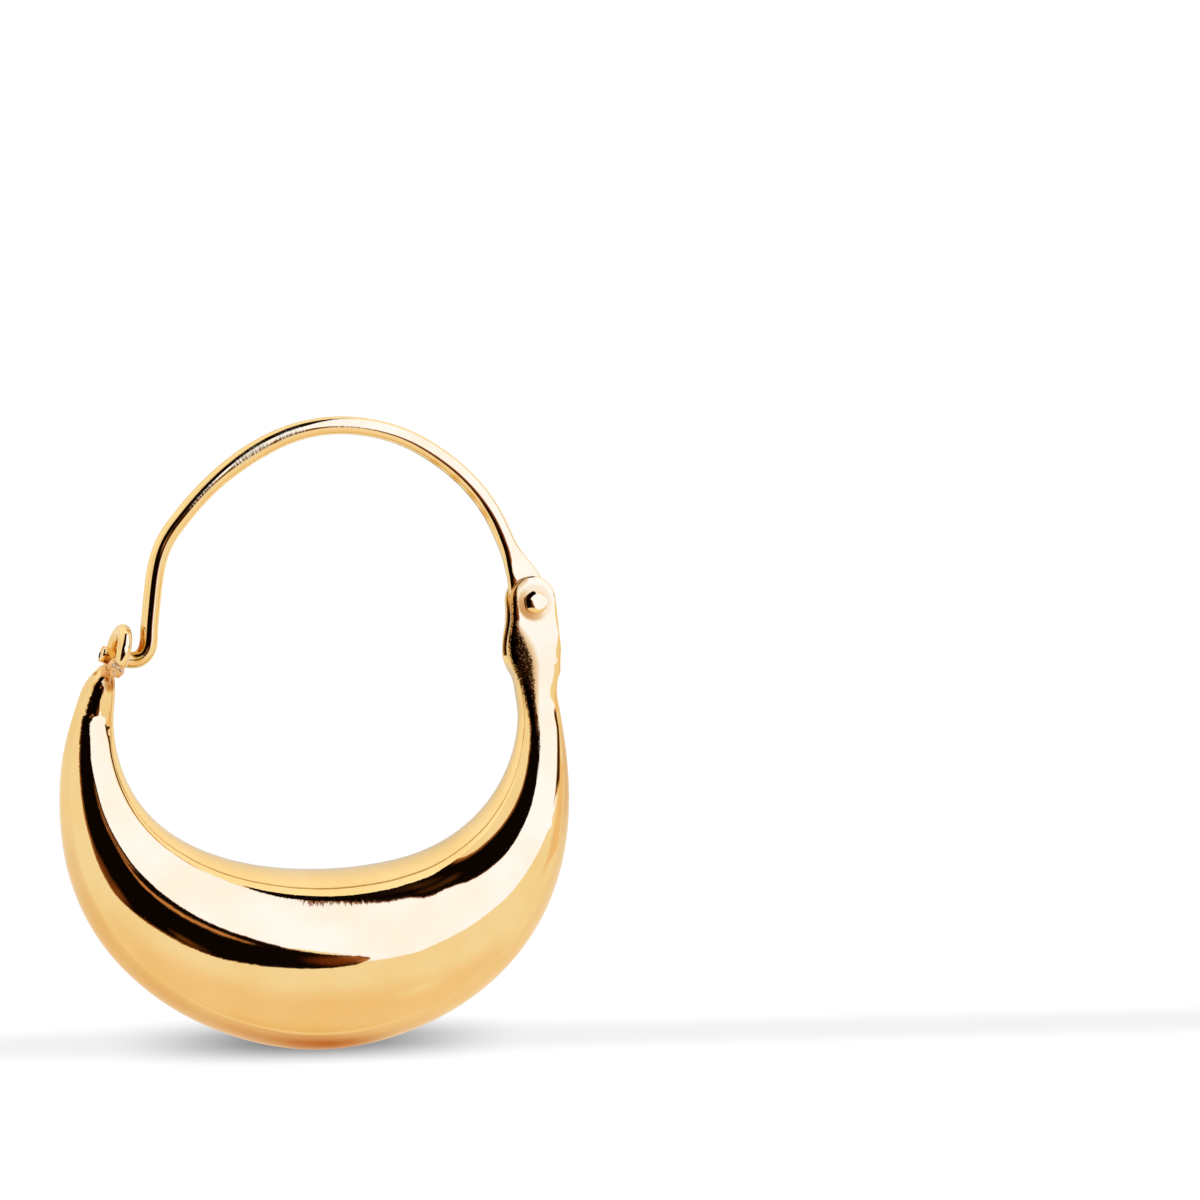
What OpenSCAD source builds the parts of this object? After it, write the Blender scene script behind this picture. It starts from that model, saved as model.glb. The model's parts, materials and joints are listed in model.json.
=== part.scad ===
// Hollow hoop earring with a hinged ear wire, lying on its side.
//
// The hoop is drawn in its own flat plane first: X runs from the catch to the hinge, Y runs
// from the belly up to the ear wire, and Z runs across the hoop. lay_down() then tilts it onto
// the round of its belly and the top of its ear wire, as it lies by itself on a table.

/* [Hoop tube] */
// Thickness of the belly from the inside of the hoop to the outside
belly_width = 9.2; // [8:0.1:9.6]
// Thickness of the belly across the hoop
belly_depth = 8; // [7:0.1:8.6]
// Thickness of the sheet that the hollow tube is made of
wall = 0.4; // [0.3:0.05:0.45]

/* [Hinge] */
// Thickness of the flattened tube end, over both ears
clevis_thick = 1.45; // [1.4:0.05:1.6]
// Width of the saw cut between the ears
slot_width = 0.64; // [0.6:0.02:0.7]
// Radius of the rounded top of the ears
ear_round = 1.22; // [1.15:0.01:1.3]
// Diameter of the rivet's shaft
rivet_d = 0.8; // [0.7:0.05:0.9]
// Diameter of the peened rivet heads
rivet_head_d = 1.16; // [1:0.02:1.3]
// Height of the peened rivet heads
rivet_head_h = 0.28; // [0.2:0.02:0.4]

/* [Ear wire] */
// Diameter of the ear wire
wire_d = 0.92; // [0.8:0.02:0.92]
// Thickness of the hammered flat at the hinge end of the wire
blade_thick = 0.5; // [0.4:0.02:0.52]
// Width of the hammered flat round the rivet
blade_width = 1.9; // [1.7:0.05:2]

/* [Catch loop] */
// Diameter of the loop, measured over its wire
loop_d = 3; // [2.9:0.02:3.2]
// Diameter of the loop's wire
loop_wire_d = 0.72; // [0.6:0.02:0.72]

/* [Hidden] */

gold = [0.93, 0.70, 0.36];
small = 0.01;

// Columns of the hoop tube's rows: angle round the hoop from its lowest point, radius of the
// tube's middle line, thickness in the hoop's plane and across it as shares of the belly's,
// and squareness of the section (2 is an ellipse, more is flatter).
ANGLE = 0;
RADIUS = 1;
IN_PLANE = 2;
ACROSS = 3;
SQUARE = 4;
tube_rows = [
    [-121, 12.96, 0.09, 0.12, 2],
    [-119.5, 12.92, 0.122, 0.145, 2],
    [-118, 12.88, 0.153, 0.165, 2],
    [-112, 12.65, 0.212, 0.175, 2],
    [-102, 12.25, 0.295, 0.28, 2],
    [-92, 11.78, 0.395, 0.39, 2],
    [-70, 10.60, 0.66, 0.63, 2],
    [-46, 9.26, 0.86, 0.83, 2],
    [-22, 8.37, 0.965, 0.96, 2],
    [0, 8.12, 1, 1, 2],
    [22, 8.33, 0.965, 0.96, 2],
    [46, 9.18, 0.86, 0.83, 2],
    [70, 10.36, 0.66, 0.63, 2],
    [92, 11.47, 0.40, 0.40, 2],
    [104, 12.12, 0.28, 0.27, 2.1],
    [111, 12.52, 0.236, 0.215, 2.3],
    [115.5, 12.8, 0.232, 0.19, 2.6],
    [119.5, 13.22, 0.274, 0.183, 2.9],
    [123.5, 13.58, 0.318, 0.181, 3.1],
    [128, 14.37, 0.284, 0.181, 3.2],
    [132, 15.14, 0.266, 0.181, 3.2],
];
catch_end = tube_rows[0][ANGLE];
ear_base = tube_rows[len(tube_rows) - 1][ANGLE];
tube_sides = 28;
tube_step = 5;
end_cap = 0.16;

// The hollow inside the tube, from near the catch into the floor of the saw cut
hollow_start = -111;
hollow_end = 125;
hollow_sides = 18;
hollow_step = 8;
slot_floor = 7.1;

rivet_at = [11.3, 10];
rivet_hole_d = rivet_d + 0.04;
blade_hole_d = rivet_d + 0.1;
head_seat = clevis_thick / 2 + 0.02;

// Route of the ear wire, from the hooked tip to the rivet. Columns: x, y, width in the hoop's
// plane as a share of the wire's, and a share of the way from round to hammered flat.
WIRE_X = 0;
WIRE_Y = 1;
WIDTH = 2;
FLAT = 3;
wire_rows = [
    [-11.35, 7.46, 0.92, 0],
    [-10.9, 7.34, 0.92, 0],
    [-10.4, 7.25, 0.92, 0],
    [-9.9, 7.15, 0.92, 0],
    [-9.4, 7.25, 0.95, 0],
    [-9.05, 7.65, 1, 0],
    [-8.92, 8.5, 1, 0],
    [-8.82, 9.7, 1, 0],
    [-8.68, 11, 1, 0],
    [-8.48, 12.1, 1, 0],
    [-8.05, 13.2, 1, 0],
    [-7.3, 14.25, 1, 0],
    [-6.2, 15.5, 1, 0],
    [-4.9, 16.65, 1, 0],
    [-3.4, 17.68, 1, 0],
    [-1.8, 18.45, 1, 0],
    [-0.2, 18.88, 1, 0],
    [1.4, 19.0, 1, 0],
    [3, 18.82, 1, 0],
    [4.6, 18.33, 1, 0],
    [6.1, 17.53, 1, 0],
    [7.5, 16.5, 1, 0],
    [8.6, 15.4, 1, 0],
    [9.4, 14.3, 1, 0],
    [9.9, 13.3, 1, 0.1],
    [10.25, 12.55, 1.1, 0.5],
    [10.5, 12, 1.4, 0.85],
    [10.8, 11.35, 1.8, 1],
    [11.05, 10.7, 2.1, 1],
];
wire_sides = 12;
wire_steps = 2;

// Centre of the catch loop, its lean towards the inside of the hoop, and the level below which
// it is filed flat to sit on the tube's end
loop_at = [-10.58, 7.5, 0.15];
loop_lean = 12;
loop_seat = 6.42;
solder_d = 0.76;
solder_at = [-10.9, 6.36, 0.1];

// How it lies: the belly's back and the top of the ear wire touch the table
belly_radius = tube_rows[9][RADIUS];
wire_top = 19;
rest_tilt = asin((belly_depth / 2 - wire_d / 2) / (belly_radius + wire_top));
belly_reach = norm([belly_width / 2 * sin(rest_tilt), belly_depth / 2 * cos(rest_tilt)]);
rest_height = belly_reach - belly_radius * sin(rest_tilt);
// Middle of the outline, which is set over the origin
outline_middle = [-0.14, 3.33];

// Smooth curve through the rows of a table: slope at row i, then the value of a column at a
// share s of the way from row i to row i + 1
function slope(rows, i, col, at) =
    let (a = max(i - 1, 0), b = min(i + 1, len(rows) - 1))
    (rows[b][col] - rows[a][col]) / (at[b] - at[a]);
function between(rows, i, s, col, at) =
    let (
        h = at[i + 1] - at[i],
        p = rows[i][col],
        q = rows[i + 1][col],
        m = slope(rows, i, col, at) * h,
        n = slope(rows, i + 1, col, at) * h
    )
    p + s * m + s * s * (3 * (q - p) - 2 * m - n) + s * s * s * (2 * (p - q) + m + n);

tube_at = [for (row = tube_rows) row[ANGLE]];
function tube_row(angle) =
    let (
        past = [for (i = [0:len(tube_rows) - 2]) if (tube_at[i] <= angle) i],
        i = past[len(past) - 1],
        s = (angle - tube_at[i]) / (tube_at[i + 1] - tube_at[i])
    )
    [for (col = [RADIUS:SQUARE]) between(tube_rows, i, s, col, tube_at)];
function tube_middle(angle) =
    let (radius = tube_row(angle)[0])
    [radius * sin(angle), -radius * cos(angle)];
function unit(v) = v / norm(v);
function tube_along(angle) =
    unit(tube_middle(min(angle + 0.5, ear_base)) - tube_middle(max(angle - 0.5, catch_end)));
// Turned a quarter turn, the way along the tube points out of the hoop
function outward(along) = [along[1], -along[0]];

// One ring of points: middle, way out, half sizes in the plane and across it, and squareness
function ring(middle, out, half_in, half_across, square, sides) =
    [for (k = [0:sides - 1])
        let (
            c = cos(360 * k / sides),
            s = sin(360 * k / sides),
            grow = pow(pow(abs(c), square) + pow(abs(s), square), -1 / square),
            reach = half_in * grow * c
        )
        [middle[0] + reach * out[0], middle[1] + reach * out[1], half_across * grow * s]];
function tube_ring(angle, inset, sides, depth_limit = 100) =
    let (
        row = tube_row(angle),
        half_in = row[1] * belly_width / 2 - inset,
        half_across = min(row[2] * belly_depth / 2 - inset, depth_limit)
    )
    ring(tube_middle(angle), outward(tube_along(angle)), half_in, half_across, row[3], sides);

// A solid skin over a list of rings, closed at both ends
module skin(rings) {
    sides = len(rings[0]);
    count = len(rings);
    points = [for (r = rings) each r];
    walls = [for (i = [0:count - 2], k = [0:sides - 1])
        let (n = (k + 1) % sides)
        each [
            [i * sides + k, (i + 1) * sides + n, (i + 1) * sides + k],
            [i * sides + k, i * sides + n, (i + 1) * sides + n],
        ]];
    start = [for (k = [sides - 1:-1:0]) k];
    end = [for (k = [0:sides - 1]) (count - 1) * sides + k];
    polyhedron(points, concat(walls, [start, end]), convexity = 10);
}

function steps(from, to, step) =
    let (n = ceil((to - from) / step))
    [for (i = [0:n]) from + (to - from) * i / n];

// Tube outside: a rounded closed end at the catch, the belly, the neck and the ears' round top
module tube_outside() {
    first = tube_row(catch_end);
    last = tube_row(ear_base);
    start_cap = [for (turn = [80, 55, 30])
        ring(tube_middle(catch_end) - tube_along(catch_end) * end_cap * sin(turn),
            outward(tube_along(catch_end)), first[1] * belly_width / 2 * cos(turn),
            first[2] * belly_depth / 2 * cos(turn), first[3], tube_sides)];
    body = [for (angle = steps(catch_end, ear_base, tube_step)) tube_ring(angle, 0, tube_sides)];
    top_cap = [for (turn = [12, 26, 40, 54, 68, 80])
        ring(tube_middle(ear_base) + tube_along(ear_base) * ear_round * sin(turn),
            outward(tube_along(ear_base)), ear_round * cos(turn),
            clevis_thick / 2 * (1 - 0.12 * pow(sin(turn), 6)), last[3], tube_sides)];
    skin(concat(start_cap, body, top_cap));
}

module tube_hollow() {
    skin([for (angle = steps(hollow_start, hollow_end, hollow_step))
        tube_ring(angle, wall, hollow_sides, angle > 112 ? slot_width / 2 - 0.03 : 100)]);
}

// Saw cut with a round floor, open towards the inside, the top and the outside
module saw_cut() {
    length = 5;
    translate([rivet_at[0], slot_floor + slot_width / 2, 0]) {
        rotate([0, 90, 0]) cylinder(h = length, d = slot_width, center = true, $fn = 24);
        translate([-length / 2, 0, -slot_width / 2]) cube([length, length, slot_width]);
    }
}

module catch_loop() {
    difference() {
        translate(loop_at) rotate([0, 0, -loop_lean]) rotate([0, 90, 0])
            rotate_extrude($fn = 40) translate([(loop_d - loop_wire_d) / 2, 0])
                circle(d = loop_wire_d, $fn = 16);
        translate([loop_at[0] - 2, loop_seat - 2, -2]) cube([4, 2, 4]);
    }
    translate(solder_at) sphere(d = solder_d, $fn = 20);
}

// Whole hollow hoop, one soldered piece: tube, two ears and catch loop
module hoop_body() {
    color(gold) lay_down() {
        difference() {
            tube_outside();
            tube_hollow();
            saw_cut();
            translate([rivet_at[0], rivet_at[1], 0])
                cylinder(h = 2 * clevis_thick, d = rivet_hole_d, center = true, $fn = 32);
        }
        catch_loop();
    }
}

// Rivet through both ears, with a peened head on each side
module hinge_rivet() {
    color(gold) lay_down() translate([rivet_at[0], rivet_at[1], 0]) {
        cylinder(h = 2 * head_seat + small, d = rivet_d, center = true, $fn = 32);
        for (side = [0, 1]) mirror([0, 0, side]) translate([0, 0, head_seat])
            rotate_extrude($fn = 32) rivet_head_half();
    }
}

// Half outline of a low head with a rounded edge
module rivet_head_half() {
    edge = rivet_head_h * 0.6;
    square([rivet_head_d / 2 - edge, rivet_head_h]);
    square([rivet_head_d / 2, rivet_head_h - edge]);
    translate([rivet_head_d / 2 - edge, rivet_head_h - edge]) intersection() {
        circle(r = edge, $fn = 32);
        square(edge);
    }
}

// Distance along the wire's route up to each of its rows
function wire_xy(i) = [wire_rows[i][WIRE_X], wire_rows[i][WIRE_Y]];
function run(i) = i == 0 ? 0 : run(i - 1) + norm(wire_xy(i) - wire_xy(i - 1));
wire_at = [for (i = [0:len(wire_rows) - 1]) run(i)];
function wire_row(i, s) = [for (col = [WIRE_X:FLAT]) between(wire_rows, i, s, col, wire_at)];
function wire_ring(i, s) =
    let (
        row = wire_row(i, s),
        ahead = wire_row(i, s + 0.05),
        behind = wire_row(i, s - 0.05),
        along = unit([ahead[0] - behind[0], ahead[1] - behind[1]]),
        half_across = wire_d / 2 + row[FLAT] * (blade_thick - wire_d) / 2
    )
    ring([row[0], row[1]], outward(along), row[WIDTH] * wire_d / 2, half_across,
        2 + 2 * row[FLAT], wire_sides);

// Round wire with a hooked tip, hammered into a flat blade with an eye for the rivet
module ear_wire() {
    last = len(wire_rows) - 1;
    along = unit(rivet_at - wire_xy(last));
    route = [for (i = [0:last - 1], j = [0:wire_steps - 1]) wire_ring(i, j / wire_steps)];
    eye = [for (turn = [0, 20, 40, 60, 75])
        ring(rivet_at + along * blade_width / 2 * sin(turn), outward(along),
            blade_width / 2 * cos(turn), blade_thick / 2, 4, wire_sides)];
    color(gold) lay_down() difference() {
        skin(concat(route, [wire_ring(last - 1, 1)], eye));
        translate([rivet_at[0], rivet_at[1], 0])
            cylinder(h = 3, d = blade_hole_d, center = true, $fn = 32);
    }
}

module lay_down() {
    translate([-outline_middle[0], -outline_middle[1], rest_height])
        rotate([-rest_tilt, 0, 0]) children();
}

hoop_body();
hinge_rivet();
ear_wire();
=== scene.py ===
import json
import math

import bmesh
import bpy
import numpy as np
from mathutils import Matrix, Vector, noise


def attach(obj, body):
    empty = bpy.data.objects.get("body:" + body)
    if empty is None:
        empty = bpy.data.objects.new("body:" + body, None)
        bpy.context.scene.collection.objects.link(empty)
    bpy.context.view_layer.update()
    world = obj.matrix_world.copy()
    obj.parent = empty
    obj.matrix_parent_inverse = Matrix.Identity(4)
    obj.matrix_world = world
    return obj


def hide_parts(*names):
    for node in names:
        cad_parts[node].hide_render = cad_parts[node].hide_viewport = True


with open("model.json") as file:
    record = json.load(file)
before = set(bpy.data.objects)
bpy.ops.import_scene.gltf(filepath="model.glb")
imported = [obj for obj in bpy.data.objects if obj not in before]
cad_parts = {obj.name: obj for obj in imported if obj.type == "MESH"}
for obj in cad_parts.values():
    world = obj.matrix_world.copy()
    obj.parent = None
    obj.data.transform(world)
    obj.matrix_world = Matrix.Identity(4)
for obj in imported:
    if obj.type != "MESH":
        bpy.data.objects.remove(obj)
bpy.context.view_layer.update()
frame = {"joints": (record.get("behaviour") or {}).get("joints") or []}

# Hollow hoop tube. The real one is a crescent of gold-plated sheet, formed in two halves and
# soldered, fat at the belly and drawn thin at both ends. One end is closed, and the other is
# flattened and sawn into two ears for the hinge.

# This and every other piece is made in the hoop's own flat plane, in millimetres: u runs from
# the catch to the hinge, v from the belly up to the ear wire, w across the hoop. The rivet's
# axis in the frame says how that plane is tilted on the table and where it is.
MM = 0.001
hinge = frame["joints"][0]
rivet_at, rivet_radius = (11.3, 10.0), 0.4
AXIS_U = np.array([1.0, 0.0, 0.0])
AXIS_W = -np.array(hinge["axis"], float)
AXIS_W = AXIS_W / np.linalg.norm(AXIS_W)
AXIS_V = np.cross(AXIS_W, AXIS_U)
HOOP_PLACE = np.array(hinge["pos_m"], float) - MM * (rivet_at[0] * AXIS_U + rivet_at[1] * AXIS_V)


def on_table(points):
    """Points of the hoop's own plane, in mm, where they lie on the table, in metres."""
    return HOOP_PLACE + MM * (np.asarray(points, float) @ np.array([AXIS_U, AXIS_V, AXIS_W]))


belly_width = 9.2
belly_depth = 8.0
wall = 0.4
clevis_thick = 1.45
slot_half = 0.32
ear_round = 1.22
rim_round = 0.07
sharp_bend = math.radians(50)
# Columns: angle round the hoop from its lowest point, radius of the tube's middle line,
# thickness in the hoop's plane and across it as shares of the belly's, squareness of section
tube_rows = np.array([
    [-121, 12.96, 0.09, 0.12, 2],
    [-119.5, 12.92, 0.122, 0.145, 2],
    [-118, 12.88, 0.153, 0.165, 2],
    [-112, 12.65, 0.212, 0.175, 2],
    [-102, 12.25, 0.295, 0.28, 2],
    [-92, 11.78, 0.395, 0.39, 2],
    [-70, 10.60, 0.66, 0.63, 2],
    [-46, 9.26, 0.86, 0.83, 2],
    [-22, 8.37, 0.965, 0.96, 2],
    [0, 8.12, 1, 1, 2],
    [22, 8.33, 0.965, 0.96, 2],
    [46, 9.18, 0.86, 0.83, 2],
    [70, 10.36, 0.66, 0.63, 2],
    [92, 11.47, 0.40, 0.40, 2],
    [104, 12.12, 0.28, 0.27, 2.1],
    [111, 12.52, 0.236, 0.215, 2.4],
    [115.5, 12.8, 0.232, 0.19, 3.3],
    [119.5, 13.22, 0.274, 0.183, 5],
    [123.5, 13.58, 0.318, 0.181, 6.8],
    [128, 14.37, 0.284, 0.181, 8.5],
    [132, 15.14, 0.266, 0.181, 10],
])
catch_end, ear_base = tube_rows[0, 0], tube_rows[-1, 0]
slot_floor_at = 123.2
neck_radius = 13.5
hollow_start = -111.0
mouth_square = 7


def smooth_curve(at, rows):
    """A function that follows the smooth curve through the rows, with no kink in its bend."""
    gap = np.diff(at)
    rise = np.diff(rows, axis=0) / gap[:, None]
    span = np.eye(len(at))
    push = np.zeros_like(rows, dtype=float)
    for i in range(1, len(at) - 1):
        span[i, i - 1:i + 2] = gap[i - 1], 2 * (gap[i - 1] + gap[i]), gap[i]
        push[i] = 6 * (rise[i] - rise[i - 1])
    bend = np.linalg.solve(span, push)

    def follow(x):
        i = np.clip(np.searchsorted(at, x, side="right") - 1, 0, len(gap) - 1)
        h = gap[i][:, None]
        a = (at[i + 1] - x)[:, None] / h
        b = 1 - a
        straight = a * rows[i] + b * rows[i + 1]
        return straight + ((a**3 - a) * bend[i] + (b**3 - b) * bend[i + 1]) * h**2 / 6

    return follow


tube_curve = smooth_curve(tube_rows[:, 0], tube_rows[:, 1:])


def ease(x, start, end):
    """0 before start, 1 after end, and smooth in between."""
    t = np.clip((np.asarray(x, float) - start) / (end - start), 0, 1)
    return t * t * (3 - 2 * t)


def tube_section(angle):
    """Middle, way out of the hoop, way along and half sizes of the tube's section there."""
    angle = np.atleast_1d(np.asarray(angle, float))
    turn = np.radians(angle)
    radius, in_plane, across, square = tube_curve(angle).T
    middle = np.stack([radius * np.sin(turn), -radius * np.cos(turn)], 1)
    step = 0.05
    near = []
    for side in (-step, step):
        r = tube_curve(angle + side)[:, 0]
        t = np.radians(angle + side)
        near.append(np.stack([r * np.sin(t), -r * np.cos(t)], 1))
    along = near[1] - near[0]
    along /= np.linalg.norm(along, axis=1)[:, None]
    out = np.stack([along[:, 1], -along[:, 0]], 1)
    return middle, out, along, in_plane * belly_width / 2, across * belly_depth / 2, square


def section_ring(middle, out, half_in, half_across, square, turn):
    """Rings of points round a middle: turn is 0 on the outside of the hoop, pi on its inside."""
    c, s = np.cos(turn), np.sin(turn)
    n = square[:, None]
    grow = (np.abs(c) ** n + np.abs(s) ** n) ** (-1 / n)
    reach = half_in[:, None] * grow * c
    w = half_across[:, None] * grow * s
    u = middle[:, 0, None] + reach * out[:, 0, None]
    v = middle[:, 1, None] + reach * out[:, 1, None]
    return np.stack([u, v, w], -1)


def turn_at(w, half_across, square):
    """The turn at which a section has reached w across the hoop."""
    q = w / half_across
    return np.arctan(q / (1 - q**square) ** (1 / square))


def bridge(faces, low, high, closed=True):
    """Quads between two rows of vertex numbers, or triangles where a number repeats."""
    for j in range(len(low) if closed else len(low) - 1):
        k = (j + 1) % len(low)
        face = []
        for number in (low[j], low[k], high[k], high[j]):
            if number not in face:
                face.append(number)
        if len(face) > 2:
            faces.append(face)


class Parts:
    """Vertices and faces of a piece while it is put together."""

    def __init__(self):
        self.points, self.faces = [], []

    def add(self, points):
        """Adds points and returns their numbers."""
        start = len(self.points)
        self.points.extend(np.asarray(points, float).tolist())
        return list(range(start, len(self.points)))


def in_scene(name, data):
    """A new object in the scene, made of a mesh, a camera or a lamp."""
    made = bpy.data.objects.new(name, data)
    bpy.context.scene.collection.objects.link(made)
    return made


def outward_piece(name, parts):
    """The finished mesh object, with its faces turned outwards and a smooth shade."""
    mesh = bpy.data.meshes.new(name)
    mesh.from_pydata(on_table(parts.points).tolist(), [], parts.faces)
    b = bmesh.new()
    b.from_mesh(mesh)
    bmesh.ops.recalc_face_normals(b, faces=b.faces)
    b.to_mesh(mesh)
    b.free()
    mesh.shade_smooth()
    return in_scene(name, mesh)


strip_steps, front_steps, hollow_front_steps = 8, 56, 16
belly_reach = 108
tube = Parts()


def strip_turns(edge):
    """Turns of the columns: outer strip, front, inner strip and back. edge is the turn at
    which the strip over the saw cut ends."""
    edge = edge[:, None]
    strip = np.linspace(-1, 1, 2 * strip_steps + 1)[None, :-1]
    front = np.linspace(0, 1, front_steps + 1)[None, :-1]
    arc = math.pi - 2 * edge
    return np.concatenate([
        edge * strip, edge + arc * front, math.pi + edge * strip, math.pi + edge + arc * front,
    ], 1)


# Outside of the tube, from the closed end to the floor of the saw cut
end_steps, belly_steps, neck_steps = 60, 240, 56
stations = np.concatenate([
    np.linspace(catch_end, -belly_reach, end_steps)[:-1],
    np.linspace(-belly_reach, belly_reach, belly_steps)[:-1],
    np.linspace(belly_reach, slot_floor_at, neck_steps),
])
middle, out, along, half_in, half_across, square = tube_section(stations)
even = math.pi * strip_steps / (2 * strip_steps + front_steps)
at_slot = turn_at(slot_half, half_across, square)
# The outer and inner strips narrow to the width of the saw cut between these angles
strip_narrows = (96, 116)
edge = even + (at_slot - even) * ease(stations, *strip_narrows)
turns = strip_turns(edge)
# The saw's round floor reaches lower in the middle of the cut
dip_start = slot_floor_at - 5
dip = np.zeros_like(turns)
saw_share = np.linspace(-1, 1, 2 * strip_steps + 1)[:-1]
floor_dip = slot_half * np.sqrt(1 - saw_share**2) / (np.radians(1) * neck_radius)
inner_start = 2 * strip_steps + front_steps
for first in (0, inner_start):
    dip[:, first:first + 2 * strip_steps] = floor_dip
shifted = stations[:, None] - dip * ease(stations, dip_start, slot_floor_at)[:, None]
outside = np.empty(turns.shape + (3,))
for column in range(turns.shape[1]):
    m, o, _, hi, ha, sq = tube_section(shifted[:, column])
    outside[:, column] = section_ring(m, o, hi, ha, sq, turns[:, column:column + 1])[:, 0]
rings = [tube.add(ring) for ring in outside]
for low, high in zip(rings, rings[1:]):
    bridge(tube.faces, low, high)

# The closed end is drawn in to a small round cap
end_cap = 0.16
cap_m, cap_o, cap_a, cap_hi, cap_ha, cap_sq = tube_section([catch_end])
previous = rings[0]
for lift in np.radians([15, 30, 45, 60, 75]):
    cap_middle = cap_m - cap_a * end_cap * math.sin(lift)
    shrink = math.cos(lift)
    ring = section_ring(cap_middle, cap_o, cap_hi * shrink, cap_ha * shrink, cap_sq, turns[:1])[0]
    numbers = tube.add(ring)
    bridge(tube.faces, numbers, previous)
    previous = numbers
tip = cap_m - cap_a * end_cap
pole = tube.add([[tip[0, 0], tip[0, 1], 0]])[0]
bridge(tube.faces, [pole] * len(previous), previous)

# The hollow inside, from its closed end to the floor of the saw cut
hollow_turns = np.concatenate([
    np.radians(np.linspace(-45, 45, 2 * strip_steps + 1)[:-1]),
    np.radians(np.linspace(45, 135, hollow_front_steps + 1)[:-1]),
    np.radians(np.linspace(135, 225, 2 * strip_steps + 1)[:-1]),
    np.radians(np.linspace(225, 315, hollow_front_steps + 1)[:-1]),
])
hollow_neck, hollow_steps, mouth_steps = 100, 60, 20
hollow_stations = np.concatenate([
    np.linspace(hollow_start, hollow_neck, hollow_steps)[:-1],
    np.linspace(hollow_neck, slot_floor_at, mouth_steps),
])
m, o, _, hi, ha, sq = tube_section(hollow_stations)
mouth_flattens = (106, slot_floor_at - 1)
flat = ease(hollow_stations, *mouth_flattens)
hollow_across = (ha - wall) * (1 - flat) + slot_half * flat
hollow = section_ring(m, o, hi - wall, hollow_across, sq + mouth_square * flat, hollow_turns[None])
hollow_rings = [tube.add(ring) for ring in hollow]
for low, high in zip(hollow_rings, hollow_rings[1:]):
    bridge(tube.faces, high, low)
blind = tube.add([hollow[0].mean(0)])[0]
bridge(tube.faces, hollow_rings[0], [blind] * len(hollow_turns))

# Floor of the saw cut at its two ends, where the wall of the tube shows in section
neck, mouth = rings[-1], hollow_rings[-1]
hollow_inner = 2 * strip_steps + hollow_front_steps
for first, hollow_first in ((0, 0), (inner_start, hollow_inner)):
    bridge(
        tube.faces,
        neck[first:first + 2 * strip_steps + 1],
        mouth[hollow_first:hollow_first + 2 * strip_steps + 1],
        closed=False,
    )

# The two ears, from the floor of the saw cut over their round tops
ear_start, ear_steps = (0.2, 0.7), 34
ear_stations = np.concatenate([
    [slot_floor_at + ear_start[0]], np.linspace(slot_floor_at + ear_start[1], ear_base, ear_steps)])
ear_m, ear_o, ear_a, ear_hi, ear_ha, ear_sq = tube_section(ear_stations)
top_lift = np.radians(np.concatenate([np.linspace(5, 75, 15), [79, 83, 86.5]]))[:, None]
top_hi = ear_round * np.cos(top_lift[:, 0])
top_thin, top_power = 0.4, 10
top_ha = slot_half + (clevis_thick / 2 - slot_half) * (
    1 - top_thin * np.sin(top_lift[:, 0]) ** top_power)
ear_m = np.concatenate([ear_m, ear_m[-1] + ear_a[-1] * ear_round * np.sin(top_lift)])
ear_o = np.concatenate([ear_o, np.repeat(ear_o[-1:], len(top_lift), 0)])
ear_hi = np.concatenate([ear_hi, top_hi])
ear_ha = np.concatenate([ear_ha, top_ha])
ear_sq = np.concatenate([ear_sq, np.full(len(top_lift), ear_sq[-1])])
arc_share = np.linspace(0, 1, front_steps + 1)[None]
corner_reach = ear_hi * (1 - (slot_half / ear_ha) ** ear_sq) ** (1 / ear_sq)
rim_limit = 0.4
rim = np.minimum(rim_round, rim_limit * corner_reach)
rim_steps = (0.25, 0.5, 0.75)
start_turn = turn_at(slot_half + rim, ear_ha, ear_sq)[:, None]
arc = section_ring(
    ear_m, ear_o, ear_hi, ear_ha, ear_sq, start_turn + (math.pi - 2 * start_turn) * arc_share)


def in_section(reach):
    """Points on the saw cut's wall at a reach outwards from the middle of each section."""
    place = ear_m + ear_o * reach[:, None]
    return np.column_stack([place, np.full(len(place), slot_half)])


def rim_arc(skin, side):
    """Three points that round the rim between the skin and the saw cut's wall."""
    corner, wall_point = in_section(side * corner_reach), in_section(side * (corner_reach - rim))
    return [(1 - t) ** 2 * skin + 2 * t * (1 - t) * corner + t * t * wall_point for t in rim_steps]


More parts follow.
